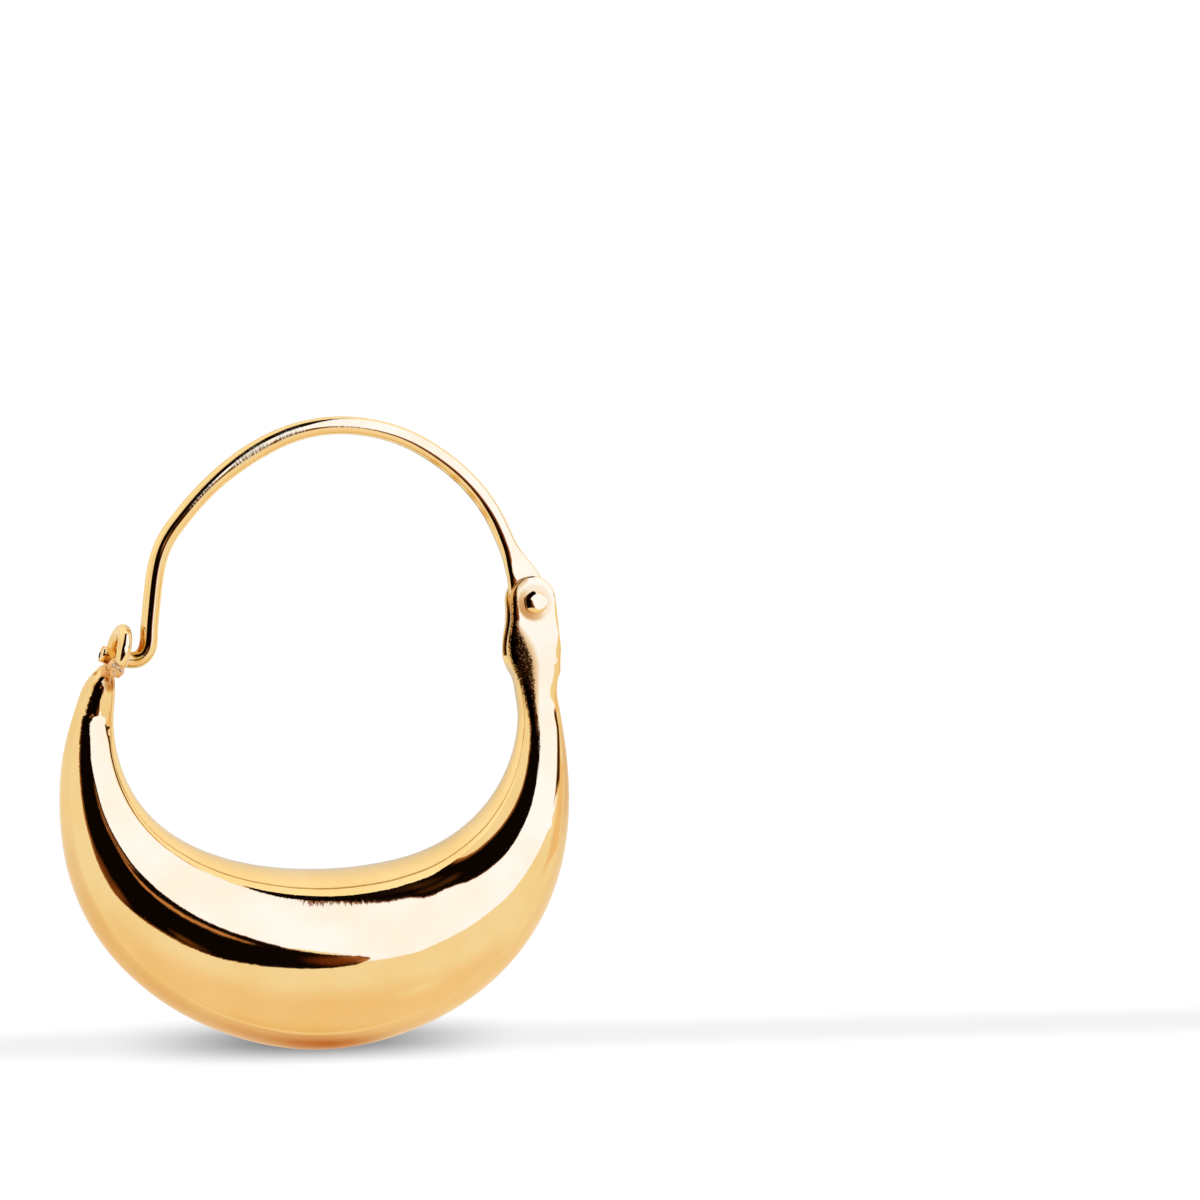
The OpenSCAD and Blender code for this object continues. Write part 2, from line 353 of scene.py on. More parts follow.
mouth_reach = (hollow[-1, :, :2] - m[-1]) @ o[-1]
wall_share = mouth_reach[2 * strip_steps:hollow_inner + 1] / corner_reach[0]
wall_points = [in_section(corner_reach - rim)]
wall_points += [in_section(share * (corner_reach - rim)) for share in wall_share]
wall_points += [in_section(rim - corner_reach)]
ear_rings = [arc[:, j] for j in range(front_steps + 1)]
ear_rings += rim_arc(arc[:, -1], -1) + wall_points[::-1] + rim_arc(arc[:, 0], 1)[::-1]
ear_rings = np.stack(ear_rings, 1)
front_columns = range(2 * strip_steps, inner_start + 1)
front_mouth = range(2 * strip_steps, hollow_inner + 1)
corners = len(rim_steps)
for side in (1, -1):
    if side == 1:
        ring = [neck[j] for j in front_columns]
        mouth_line = [mouth[j] for j in front_mouth]
    else:
        ring = [neck[(2 * strip_steps - j) % len(neck)] for j in front_columns]
        mouth_line = [mouth[(2 * strip_steps - j) % len(mouth)] for j in front_mouth]
    previous = ring + [ring[-1]] * (corners + 1) + mouth_line[::-1] + [ring[0]] * (corners + 1)
    for points in ear_rings:
        numbers = tube.add(points * [1, 1, side])
        bridge(tube.faces, previous, numbers)
        previous = numbers
    n = front_steps
    inner_corner = previous[n + 1:n + 1 + corners]
    flat_wall = previous[n + 1 + corners:-corners]
    outer_corner = previous[-corners:]
    half = previous[n // 2:n + 1] + inner_corner + flat_wall[:len(flat_wall) // 2 + 1]
    other = previous[n // 2::-1] + outer_corner[::-1] + flat_wall[::-1][:len(flat_wall) // 2 + 1]
    bridge(tube.faces, half, other, closed=False)


# Columns: height v, then how much thinner the filed faces get to the right there, how they are
# rounded off left of crown_edge, and how much flatter they were left right of flat_edge
filed_rows = np.array([
    [1.5, 0, 0, 0],
    [2.6, 0, 0, 0],
    [3.4, 0.03, 0, 0.01],
    [4.2, 0.09, 0, 0.05],
    [4.95, 0.12, 0, 0.12],
    [5.75, 0.093, 0.01, 0.13],
    [6.5, 0.07, 0.035, 0.045],
    [7.0, 0.07, 0.05, 0.045],
    [7.4, 0.072, 0.06, 0.038],
    [7.9, 0.066, 0.058, 0.025],
    [8.4, 0.064, 0.022, 0.008],
    [9.0, 0.064, 0.008, 0],
    [9.6, 0.064, 0, 0],
    [10.4, 0.064, 0, 0],
    [12, 0.064, 0, 0],
])
filed_shape = smooth_curve(filed_rows[:, 0], filed_rows[:, 1:])
crown_edge, flat_edge, full_edge = 11.2, 11.6, 12
# Heights between which the neck turns flat, starts to thin upwards, and gets fuller at its right
flat_from, thin_from, full_from, fuller_from = (6.2, 7.4), (6.5, 8.5), (7.4, 8.4), (9, 10.3)
neck_height, upward_thin = 7, 0.03
full_share, fuller_share = 0.14, 0.1
# Only what lies right of hinge_side is filed thin, and the file leaves the saw cut's walls alone
hinge_side, rows_reach = 5, (1.5, 11.9)
wall_margin, skin_margin = 0.05, 0.1
# The facet at the closed end: its foot, slope, the step it starts with and its rolled left edge
facet_foot, facet_slope = 4.33, 0.03
facet_step, facet_ease = 0.04, 0.6
facet_left, facet_roll, roll_reach = -11.85, 0.25, 0.6
facet_right, facet_start, facet_end = -5, (4.3, 4.6), (6, 6.6)


def file_flat(points):
    """The faces of the ears and the neck as a file left them, a little thinner outwards and
    upwards, and a small flat on the closed end. The walls of the saw cut stay."""
    u, v, w = points.T
    round_share = np.abs(w) / (clevis_thick / 2)
    skin = ease(np.abs(w), slot_half + wall_margin, clevis_thick / 2 - skin_margin)
    share = (round_share + (skin - round_share) * ease(v, *flat_from)) * (u > hinge_side)
    slope, crown, flatter = filed_shape(np.clip(v, *rows_reach)).T
    thin = slope * (u - rivet_at[0]) + upward_thin * (v - neck_height) * ease(v, *thin_from)
    thin += (crown * np.clip(crown_edge - u, 0, None) ** 2
             - flatter * np.clip(u - flat_edge, 0, None) ** 2)
    fuller = full_share + fuller_share * ease(v, *fuller_from)
    thin -= fuller * np.clip(u - full_edge, 0, None) ** 2 * ease(v, *full_from)
    at_catch = u < facet_right
    above = np.clip(v - facet_foot, 0, None)
    facet = (facet_slope * above + facet_step * (1 - np.exp(-above / facet_ease))) * at_catch
    rolled = facet_roll * np.clip(facet_left - u, 0, roll_reach) ** 2
    facet -= rolled * ease(v, *facet_start) * ease(-v, -facet_end[1], -facet_end[0]) * at_catch
    filed = share * thin - np.minimum(round_share, 1) * facet
    return np.column_stack([u, v, w - np.sign(w) * filed])


tube.points = file_flat(np.array(tube.points)).tolist()
hoop_tube = outward_piece("hoop_tube", tube)


def vertex_places(piece):
    """Where the vertices of a piece are in the hoop's own plane, in mm, and their normals."""
    mesh = piece.data
    co = np.empty(len(mesh.vertices) * 3, np.float32)
    normal = np.empty_like(co)
    mesh.vertices.foreach_get("co", co)
    mesh.vertex_normals.foreach_get("vector", normal)
    axes = np.array([AXIS_U, AXIS_V, AXIS_W]).T
    return (co.reshape(-1, 3) - HOOP_PLACE) @ axes / MM, normal.reshape(-1, 3)


def press(piece, marks):
    """Dents and lumps in a piece: (u, v, w) of the middle, radius and height in mm."""
    places, normal = vertex_places(piece)
    height = np.zeros(len(places))
    for middle, radius, rise in marks:
        away = np.linalg.norm(places - middle, axis=1)
        height += rise * (1 - ease(away, 0, radius))
    moved = on_table(places) + MM * height[:, None] * normal
    piece.data.vertices.foreach_set("co", moved.astype(np.float32).ravel())
    piece.data.update()


def roughen(piece, size, depth, seed):
    """Moves each vertex along its normal by up to depth, in waves of about that size, in mm."""
    places, normal = vertex_places(piece)
    wave = [noise.noise(Vector(place / size) + Vector((seed, 0, 0))) for place in places]
    moved = on_table(places) + MM * depth * np.array(wave)[:, None] * normal
    piece.data.vertices.foreach_set("co", moved.astype(np.float32).ravel())
    piece.data.update()


def apply_modifiers(piece):
    """Gives a piece the mesh that its modifiers make, and takes them off."""
    graph = bpy.context.evaluated_depsgraph_get()
    made = piece.evaluated_get(graph)
    mesh = bpy.data.meshes.new_from_object(made, preserve_all_data_layers=True, depsgraph=graph)
    piece.modifiers.clear()
    old, piece.data = piece.data, mesh
    bpy.data.meshes.remove(old)
    mesh.name = piece.name


def drill(piece, radius, sides=64, reach=2):
    """Cuts the rivet's round hole through a piece, by a drill that reaches so far to each side."""
    cutter_mesh = bpy.data.meshes.new("drill")
    cutter = in_scene("drill", cutter_mesh)
    turn = np.linspace(0, 2 * math.pi, sides, endpoint=False)
    ends = []
    for w in (-reach, reach):
        for t in turn:
            ends.append((rivet_at[0] + radius * math.cos(t), rivet_at[1] + radius * math.sin(t), w))
    skirt = [[i, (i + 1) % sides, sides + (i + 1) % sides, sides + i] for i in range(sides)]
    lids = [list(range(sides - 1, -1, -1)), list(range(sides, 2 * sides))]
    cutter_mesh.from_pydata(on_table(ends).tolist(), [], skirt + lids)
    cut = piece.modifiers.new("drilled", "BOOLEAN")
    cut.object, cut.operation, cut.solver = cutter, "DIFFERENCE", "EXACT"
    apply_modifiers(piece)
    bpy.data.objects.remove(cutter)
    bpy.data.meshes.remove(cutter_mesh)


# Hand finishing left the skin slightly wavy, with a few dents, and lumps of solder by the hinge
roughen(hoop_tube, size=3.6, depth=0.013, seed=1.3)
roughen(hoop_tube, size=1.3, depth=0.003, seed=5.2)
press(hoop_tube, [
    ((12.62, 6.50, 0.35), 0.42, 0.04),
    ((12.50, 6.86, 0.55), 0.30, 0.02),
    ((12.62, 5.95, 0.35), 0.50, -0.05),
    ((10.90, 8.68, 0.72), 0.24, -0.004),
    ((-11.16, 3.89, 0.60), 0.30, -0.022),
    ((-11.12, 3.40, 0.66), 0.26, -0.018),
    ((-11.05, 5.95, 0.55), 0.45, 0.05),
    ((5.60, -4.90, 2.80), 1.60, 0.02),
    ((12.01, -2.15, 1.73), 0.45, -0.012),
    ((11.88, -1.65, 1.79), 0.40, 0.010),
    ((-12.95, -3.40, 0.75), 0.40, -0.008),
    ((-12.20, -4.30, 1.35), 0.40, -0.008),
])
rivet_play = 0.02
drill(hoop_tube, rivet_radius + rivet_play)
hoop_tube.data.set_sharp_from_angle(angle=sharp_bend)

# The gold plate. All pieces were plated together after the hoop was soldered, and polished on a
# wheel: a bright mirror, with faint cross marks near the two ends, where the wheel can't reach.
gold_pale = (0.915, 0.655, 0.290, 1)
gold_deep = (0.890, 0.610, 0.245, 1)
painted_shade_brown = (0.52, 0.24, 0.075, 1)
painted_fleck_dark = (0.03, 0.008, 0.001, 1)


def put(tree, kind, settings=None, **sockets):
    """A node in a tree. settings are its own properties, and each named socket is given a
    number, a colour or another node's output. An underscore in a name stands for a space, and
    _2 is the socket of that number."""
    made = tree.nodes.new(kind)
    for key, value in (settings or {}).items():
        setattr(made, key, value)
    for key, value in sockets.items():
        target = made.inputs[int(key[1:])] if key[0] == "_" else made.inputs[key.replace("_", " ")]
        if isinstance(value, bpy.types.NodeSocket):
            tree.links.new(value, target)
        else:
            target.default_value = value
    return made


def maths(tree, operation, *values):
    """What comes out of a sum on numbers or on other nodes' outputs."""
    sockets = {f"_{number}": value for number, value in enumerate(values)}
    return put(tree, "ShaderNodeMath", {"operation": operation}, **sockets).outputs[0]


def soft_step(tree, value, start, end, low=0.0, high=1.0):
    """Goes smoothly from low to high while the value goes from start to end."""
    return put(tree, "ShaderNodeMapRange", {"interpolation_type": "SMOOTHSTEP"}, Value=value,
               From_Min=start, From_Max=end, To_Min=low, To_Max=high).outputs[0]


def speckle(tree, place, per_unit, detail, roughness):
    """Uneven spots from 0 to 1, about so many to a unit of the place."""
    return put(tree, "ShaderNodeTexNoise", Vector=place, Scale=per_unit, Detail=detail,
               Roughness=roughness).outputs["Fac"]


def mix_colour(tree, share, first, second, blend="MIX"):
    """Two colours, mixed by a share of the second or in another way."""
    return put(tree, "ShaderNodeMix", {"data_type": "RGBA", "blend_type": blend},
               Factor=share, _6=first, _7=second).outputs[2]


def new_group(name, inputs, outputs):
    """An empty node group with named sockets, given as (name, kind, default), and what comes
    in and goes out inside it."""
    group = bpy.data.node_groups.new(name, "ShaderNodeTree")
    for label, kind, start in inputs:
        socket = group.interface.new_socket(label, in_out="INPUT", socket_type=kind)
        if start is not None:
            socket.default_value = start
    for label, kind in outputs:
        group.interface.new_socket(label, in_out="OUTPUT", socket_type=kind)
    given, result = group.nodes.new("NodeGroupInput"), group.nodes.new("NodeGroupOutput")
    return group, given.outputs, result.inputs


# Colour of the plate: pale and deep gold in soft clouds a few millimetres wide
plate_colour, given, result = new_group(
    "plate colour",
    [("Pale", "NodeSocketColor", gold_pale), ("Deep", "NodeSocketColor", gold_deep),
     ("Cloud size mm", "NodeSocketFloat", 4.0), ("Soil", "NodeSocketFloat", 0.0),
     ("Soil colour", "NodeSocketColor", painted_shade_brown), ("Stain", "NodeSocketFloat", 0.0),
     ("Stain colour", "NodeSocketColor", painted_fleck_dark), ("Lay", "NodeSocketVector", None)],
    [("Color", "NodeSocketColor")])
on_piece = put(plate_colour, "ShaderNodeTexCoord").outputs["Object"]
per_metre = maths(plate_colour, "DIVIDE", 1 / MM, given["Cloud size mm"])
clouds = speckle(plate_colour, on_piece, per_metre, detail=3.0, roughness=0.55)
cloud_edge = (0.35, 0.65)
deeper = soft_step(plate_colour, clouds, *cloud_edge)
tone = mix_colour(plate_colour, deeper, given["Pale"], given["Deep"])
# Painted shade: a brown film laid on the plate where shade falls, and the light passes through it
film = put(plate_colour, "ShaderNodeGamma", Color=given["Soil colour"], Gamma=given["Soil"])
soiled = mix_colour(plate_colour, 1.0, tone, film.outputs[0], blend="MULTIPLY")
# Painted dark flecks, which stand in for the dark card mirrored in the filed metal, lie closer
# together where the mask is stronger
fleck_edge = (0.93, 1.07)
specks = speckle(plate_colour, given["Lay"], per_unit=11.0, detail=3.0, roughness=0.8)
flecks = soft_step(plate_colour, maths(plate_colour, "ADD", specks, given["Stain"]), *fleck_edge)
stained = mix_colour(plate_colour, flecks, soiled, given["Stain colour"])
plate_colour.links.new(stained, result["Color"])

# Marks of the polishing wheel: fine cross marks and shallow pits, stronger where Marks says so
polish_marks, given, result = new_group(
    "polish marks",
    [("Lay", "NodeSocketVector", None), ("Marks", "NodeSocketFloat", 0.0),
     ("Fine mm", "NodeSocketFloat", 0.09), ("Long mm", "NodeSocketFloat", 0.5),
     ("Grain", "NodeSocketFloat", 0.0), ("Soil", "NodeSocketFloat", 0.0),
     ("Polish", "NodeSocketFloat", 0.05), ("Dull", "NodeSocketFloat", 0.2)],
    [("Height", "NodeSocketFloat"), ("Roughness", "NodeSocketFloat")])
least_scratch, wave_height, grain_height = 0.01, 0.06, 0.4
full_rub, shade_dull = 0.7, 0.06
across_marks = maths(polish_marks, "DIVIDE", 1.0, given["Fine mm"])
along_marks = maths(polish_marks, "DIVIDE", 1.0, given["Long mm"])
stretch = put(polish_marks, "ShaderNodeCombineXYZ", X=across_marks, Y=along_marks, Z=along_marks)
laid = put(polish_marks, "ShaderNodeVectorMath", {"operation": "MULTIPLY"},
           _0=given["Lay"], _1=stretch.outputs[0])
scratch = speckle(polish_marks, laid.outputs[0], per_unit=1.0, detail=2.0, roughness=0.6)
scratch_depth = maths(polish_marks, "ADD", given["Marks"], least_scratch)
scratched = maths(polish_marks, "MULTIPLY", scratch, scratch_depth)
waves = speckle(polish_marks, given["Lay"], per_unit=2.2, detail=2.0, roughness=0.5)
wavy = maths(polish_marks, "MULTIPLY_ADD", waves, wave_height, scratched)
grain = speckle(polish_marks, given["Lay"], per_unit=10.0, detail=3.0, roughness=0.65)
grain_depth = maths(polish_marks, "MULTIPLY", given["Grain"], grain_height)
grained = maths(polish_marks, "MULTIPLY_ADD", grain, grain_depth, wavy)
polish_marks.links.new(grained, result["Height"])
rubbed = maths(polish_marks, "MULTIPLY", given["Marks"], scratch)
gloss = put(polish_marks, "ShaderNodeMapRange", Value=rubbed, From_Min=0.0, From_Max=full_rub,
            To_Min=given["Polish"], To_Max=given["Dull"])
# Where the painted shade lies, the metal is also a little duller
dulled = maths(polish_marks, "MULTIPLY_ADD", given["Soil"], shade_dull, gloss.outputs[0])
polish_marks.links.new(dulled, result["Roughness"])


def gold_plate(name, cloud_mm, fine_mm, long_mm, polish, dull, depth,
               pale=gold_pale, deep=gold_deep, soil_colour=painted_shade_brown):
    """A gold plate material. Marks, grain, painted shade and painted dark flecks are painted on the
    piece's own mesh.
    """
    made = bpy.data.materials.new(name)
    made.use_nodes = True
    tree = made.node_tree
    tree.nodes.clear()
    lay = put(tree, "ShaderNodeAttribute", {"attribute_name": "lay"}).outputs["Vector"]
    marks, grain, soil, stain = [
        put(tree, "ShaderNodeAttribute", {"attribute_name": mask}).outputs["Fac"]
        for mask in ("marks", "grain", "soil", "stain")]
    colour = put(tree, "ShaderNodeGroup", {"node_tree": plate_colour}, Cloud_size_mm=cloud_mm,
                 Soil=soil, Soil_colour=soil_colour, Stain=stain, Lay=lay, Pale=pale, Deep=deep)
    polished = put(tree, "ShaderNodeGroup", {"node_tree": polish_marks}, Lay=lay, Marks=marks,
                   Grain=grain, Soil=soil, Fine_mm=fine_mm, Long_mm=long_mm, Polish=polish, Dull=dull)
    bump = put(tree, "ShaderNodeBump", Strength=1.0, Distance=depth * MM,
               Height=polished.outputs["Height"])
    metal = put(tree, "ShaderNodeBsdfPrincipled", Base_Color=colour.outputs["Color"], Metallic=1.0,
                Roughness=polished.outputs["Roughness"], Normal=bump.outputs[0])
    put(tree, "ShaderNodeOutputMaterial", Surface=metal.outputs[0])
    return made


spot_core, spot_gap = 0.35, 0.1


def paint(piece, attribute, spots):
    """Paints a 0 to 1 mask on a mesh, from spots given as (u, v, w), radius and strength. The
    core of a spot has its full strength."""
    places, _ = vertex_places(piece)
    mask = np.zeros(len(places))
    for middle, radius, strength in spots:
        away = np.linalg.norm(places - middle, axis=1)
        mask = np.maximum(mask, strength * (1 - ease(away, spot_core * radius, radius)))
    layer = piece.data.attributes.new(attribute, "FLOAT", "POINT")
    layer.data.foreach_set("value", mask.astype(np.float32))


def spot_run(rows):
    """Spots close together along the line through rows of u, v, w, radius and strength."""
    rows = np.array(rows)
    steps = np.linalg.norm(np.diff(rows[:, :3], axis=0), axis=1)
    length = np.concatenate([[0], np.cumsum(steps)])
    spots_at = np.arange(0, length[-1], spot_gap)
    run = np.column_stack([np.interp(spots_at, length, column) for column in rows.T])
    return [(row[:3], row[3], row[4]) for row in run]


def lay_marks(piece, centre, along, open_side=1):
    """Gives each vertex its place along and across the piece, for marks that run round it.
    centre is the middle of its bend and along the radius of the bend. The bend is open
    upwards for an open_side of 1 and downwards for -1."""
    u, v, w = vertex_places(piece)[0].T
    u, v = u - centre[0], v - centre[1]
    lay = np.column_stack([np.arctan2(u, -v * open_side) * along, np.hypot(u, v), w])
    layer = piece.data.attributes.new("lay", "FLOAT_VECTOR", "POINT")
    layer.data.foreach_set("vector", lay.astype(np.float32).ravel())


# Wheel marks lie round the closed end, and a finer grain on the neck and the hinge's ears
hoop_middle = (0, 0)
lay_marks(hoop_tube, hoop_middle, along=11)
paint(hoop_tube, "marks", [
    ((-11.75, 6.2, 0.55), 0.38, 0.7),
    ((-12.1, 5.7, 0.5), 0.42, 0.9),
    ((-12.35, 5.1, 0.5), 0.45, 0.9),
    ((-12.5, 4.5, 0.5), 0.5, 0.9),
    ((-12.55, 3.8, 0.64), 0.6, 0.5),
    ((-12.7, 3.0, 0.74), 0.6, 0.35),
    ((-12.75, 2.1, 0.95), 0.6, 0.3),
    ((-12.72, 1.1, 1.25), 0.6, 0.22),
])
paint(hoop_tube, "grain", [
    ((10.0, 9.4, 0.65), 0.4, 0.6),
    ((10.05, 8.8, 0.68), 0.5, 0.8),
    ((10.15, 8.2, 0.7), 0.6, 1.0),
    ((10.3, 7.6, 0.73), 0.75, 1.0),
    ((10.55, 6.85, 0.75), 0.75, 1.0),
    ((10.75, 6.1, 0.75), 0.65, 1.0),
    ((10.9, 5.3, 0.75), 0.6, 0.9),
    ((11.0, 4.5, 0.8), 0.6, 0.8),
    ((11.1, 3.6, 0.88), 0.6, 0.6),
    ((11.15, 2.6, 1.05), 0.6, 0.45),
    ((11.1, 1.5, 1.35), 0.7, 0.3),
    ((-12.3, 4.6, 0.6), 0.5, 0.3),
])
# Painted shade round the rivet: brown, most of it below and left of the head
ring_reach, ring_width, ring_w = 0.72, 0.32, 0.68
shade_turn, thin_shade, thick_shade = 3.8, 0.12, 0.68
rivet_shade = []
for t in np.radians(np.arange(0, 360, 15)):
    rivet_shade.append((
        (rivet_at[0] + ring_reach * math.cos(t), rivet_at[1] + ring_reach * math.sin(t), ring_w),
        ring_width,
        thin_shade + thick_shade * max(0, math.cos(t - shade_turn)),
    ))
# Painted shade by the solder at the closed end, and a faint brown tint over the ears' faces
painted_shade_spots = [
    ((-11.0, 6.4, 0.3), 0.5, 0.35),
    ((-11.85, 6.55, 0.3), 0.2, 1.0),
    ((-11.15, 5.95, 0.62), 0.5, 0.8),
    ((11.9, 9.2, 0.7), 1.9, 0.02),
    ((11.8, 7.2, 0.7), 1.6, 0.02),
    ((-11.72, 5.78, 0.6), 0.4, 0.5),
]
# Painted shade on the tube: the rivet's ring, the spots above, and a brown run down the left of the
# ear and the neck, where the metal mirrors the dark card
paint(hoop_tube, "soil", rivet_shade + painted_shade_spots + spot_run([
    (10.8, 11.2, 0.5, 0.26, 0.4),
    (10.3, 10.7, 0.5, 0.28, 0.5),
    (10.15, 10.1, 0.55, 0.28, 0.5),
    (10.15, 9.4, 0.6, 0.3, 0.5),
    (10.15, 8.7, 0.68, 0.4, 0.5),
    (10.35, 8.1, 0.72, 0.7, 0.45),
    (10.6, 7.4, 0.74, 0.9, 0.5),
    (10.85, 6.7, 0.75, 0.8, 0.5),
    (10.95, 6.0, 0.75, 0.65, 0.5),
    (11.05, 5.2, 0.75, 0.5, 0.5),
    (11.12, 4.4, 0.8, 0.4, 0.4),
    (11.2, 3.6, 0.88, 0.35, 0.2),
]))
# Painted dark flecks run down the left of the ear and the neck, where the filed metal mirrors the
# dark card
paint(hoop_tube, "stain", spot_run([
    (10.15, 10.1, 0.5, 0.25, 0.45),
    (10.1, 9.4, 0.6, 0.35, 0.48),
    (10.1, 8.8, 0.65, 0.4, 0.5),
    (10.2, 8.2, 0.72, 0.7, 0.58),
    (10.4, 7.5, 0.73, 0.95, 0.62),
    (10.65, 6.8, 0.75, 0.9, 0.63),
    (10.8, 6.1, 0.75, 0.75, 0.62),
    (10.95, 5.35, 0.75, 0.6, 0.58),
    (11.05, 4.6, 0.8, 0.5, 0.55),
    (11.15, 3.9, 0.85, 0.42, 0.5),
    (11.2, 3.2, 0.95, 0.3, 0.4),
]))
hoop_tube.data.materials.append(gold_plate(
    "mirror gold", cloud_mm=4.0, fine_mm=0.14, long_mm=0.4, polish=0.04, dull=0.14, depth=0.03))
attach(hoop_tube, "hoop")
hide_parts("hoop_body")

# Catch loop. A short length of round gold-plated wire, bent into a ring that stands across the
# closed end of the tube. Its foot is filed flat and soldered there, and the hooked ear wire
# springs in under it.
loop_middle = np.array([-10.58, 7.5, 0.15])
loop_radius, loop_wire = 1.14, 0.36
loop_lean = math.radians(12)
loop_seat = 6.42
loop_up = np.array([math.sin(loop_lean), math.cos(loop_lean), 0])
loop_axis = np.array([math.cos(loop_lean), -math.sin(loop_lean), 0])
loop_across = np.array([0, 0, 1])
loop_turns, loop_sides = 96, 28
loop_bend, bend_turn, foot_thin, foot_shift = 0.012, 0.6, 0.22, 0.2
foot_reach = (0.35, 0.95)
loop_round = np.linspace(0, 2 * math.pi, loop_sides, endpoint=False)[:, None]
catch = Parts()
loop_rings = []
for i in range(loop_turns):
    turn = 2 * math.pi * i / loop_turns
    outwards = math.cos(turn) * loop_up + math.sin(turn) * loop_across
    bent = loop_radius * (1 + loop_bend * math.sin(3 * turn + bend_turn))
    foot = ease(-math.cos(turn), *foot_reach)
    thick = loop_wire * (1 - foot_thin * foot)
    ring = loop_middle + outwards * (bent + thick * np.cos(loop_round))
    ring = ring + loop_axis * thick * np.sin(loop_round)
    ring[:, 0] -= foot_shift * foot
    ring[:, 1] = np.maximum(ring[:, 1], loop_seat)
    loop_rings.append(catch.add(ring))
for i in range(loop_turns):
    bridge(catch.faces, loop_rings[i], loop_rings[(i + 1) % loop_turns])
catch_loop = outward_piece("catch_loop", catch)
lay_marks(catch_loop, loop_middle, along=1)
paint(catch_loop, "marks", [((-10.9, 6.6, 0.2), 0.8, 0.6)])
# Painted shade at the foot of the loop, where it sits in the solder
paint(catch_loop, "soil", [((-10.95, 6.5, 0.3), 0.45, 0.4)])
catch_loop.data.materials.append(gold_plate(
    "loop gold", cloud_mm=1.2, fine_mm=0.14, long_mm=0.3, polish=0.06, dull=0.2, depth=0.01))
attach(catch_loop, "hoop")

# Solder of the catch. It was melted round the foot of the loop and drawn up on both sides, and
# it stayed a little lumpy and pinker than the plate, because nobody can polish in there.
solder_pale = (0.94, 0.62, 0.28, 1)
solder_deep = (0.89, 0.52, 0.2, 1)
# Each ball of solder: (u, v, w) of its middle and its radius
solder_balls = [
    ((-11.15, 6.40, 0.10), 0.32),
    ((-11.10, 6.55, 0.45), 0.32),
    ((-11.05, 6.44, -0.10), 0.30),
    ((-11.10, 6.62, 0.56), 0.31),
    ((-10.98, 6.80, 0.76), 0.27),
    ((-10.86, 6.98, 0.94), 0.22),
    ((-10.98, 6.60, -0.38), 0.34),
    ((-11.22, 6.30, 0.42), 0.17),
    ((-11.36, 6.52, 0.16), 0.20),
    ((-11.22, 6.14, 0.32), 0.18),
    ((-11.01, 6.80, 1.00), 0.30),
    ((-11.27, 6.70, 0.80), 0.27),
    ((-10.96, 7.05, 1.15), 0.22),
    ((-10.80, 6.90, 1.15), 0.24),
    ((-11.36, 6.60, 0.66), 0.24),
    ((-11.14, 6.88, 1.32), 0.22),
    ((-10.98, 6.74, 1.42), 0.23),
    ((-10.84, 6.60, 1.48), 0.20),
    ((-11.08, 6.56, 1.30), 0.24),
    ((-10.86, 6.40, 1.34), 0.16),
]
lumps = bmesh.new()
for ball_middle, ball_radius in solder_balls:
    ball_place = Matrix.Translation(Vector(on_table(ball_middle)))
    bmesh.ops.create_icosphere(lumps, subdivisions=4, radius=ball_radius * MM, matrix=ball_place)
solder_mesh = bpy.data.meshes.new("solder_joint")
lumps.to_mesh(solder_mesh)
lumps.free()
solder_joint = in_scene("solder_joint", solder_mesh)
melt = solder_joint.modifiers.new("melted together", "REMESH")
melt.mode = "VOXEL"
melt.voxel_size = 0.03 * MM
soften = solder_joint.modifiers.new("drawn smooth", "SMOOTH")
soften.factor = 0.5
soften.iterations = 6
apply_modifiers(solder_joint)
roughen(solder_joint, size=0.3, depth=0.09, seed=3.1)
roughen(solder_joint, size=0.11, depth=0.03, seed=7.7)
solder_joint.data.shade_smooth()
lay_marks(solder_joint, hoop_middle, along=12)
paint(solder_joint, "marks", [((-11.0, 6.5, 0.3), 3, 1.0)])
# Painted shade low on the solder, by the tube
paint(solder_joint, "soil", [((-10.9, 6.0, 0.3), 0.3, 0.5)])
solder_joint.data.materials.append(gold_plate(
    "solder gold", cloud_mm=0.5, fine_mm=0.12, long_mm=0.12, polish=0.42, dull=0.55, depth=0.015,
    pale=solder_pale, deep=solder_deep))
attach(solder_joint, "hoop")

# Rivet of the hinge. A short gold-plated pin through both ears and the eye of the ear wire,
# hammered at each end into a low button with slightly flat sides.
head_radius, head_sink = 0.62, 0.05
head_seat = clevis_thick / 2 - head_sink
rivet = Parts()
rivet_sides = 48
rivet_round = np.linspace(0, 2 * math.pi, rivet_sides, endpoint=False)
# Columns: radius as a share of the head's, height over the ear's face, shift to the right
head_rows = [
    (0.97, 0, 0.03), (1, 0.06, 0.03), (1, 0.13, 0.03), (0.97, 0.18, 0.035), (0.93, 0.2, 0.05),
    (0.78, 0.265, 0.13), (0.75, 0.275, 0.145), (0.7, 0.28, 0.145), (0.4, 0.283, 0.145),
]
# Six soft flats round the head, which is a little longer one way than the other
flat_half = math.pi / 6
flat_turn, long_share, long_turn = 0.35, 0.02, 1.2
across_flat = (rivet_round + flat_turn) % (math.pi / 3) - flat_half
hammered = 0.5 + 0.5 * np.cos(flat_half) / np.cos(across_flat)
flats = hammered * (1 + long_share * np.cos(2 * rivet_round + long_turn))


def rivet_ring(radius, w, shape=1, shift=0):
    """One ring round the rivet's axis."""
    return np.column_stack([
        rivet_at[0] + shift + radius * shape * np.cos(rivet_round),
        rivet_at[1] + radius * shape * np.sin(rivet_round),
        np.full(rivet_sides, w),
    ])


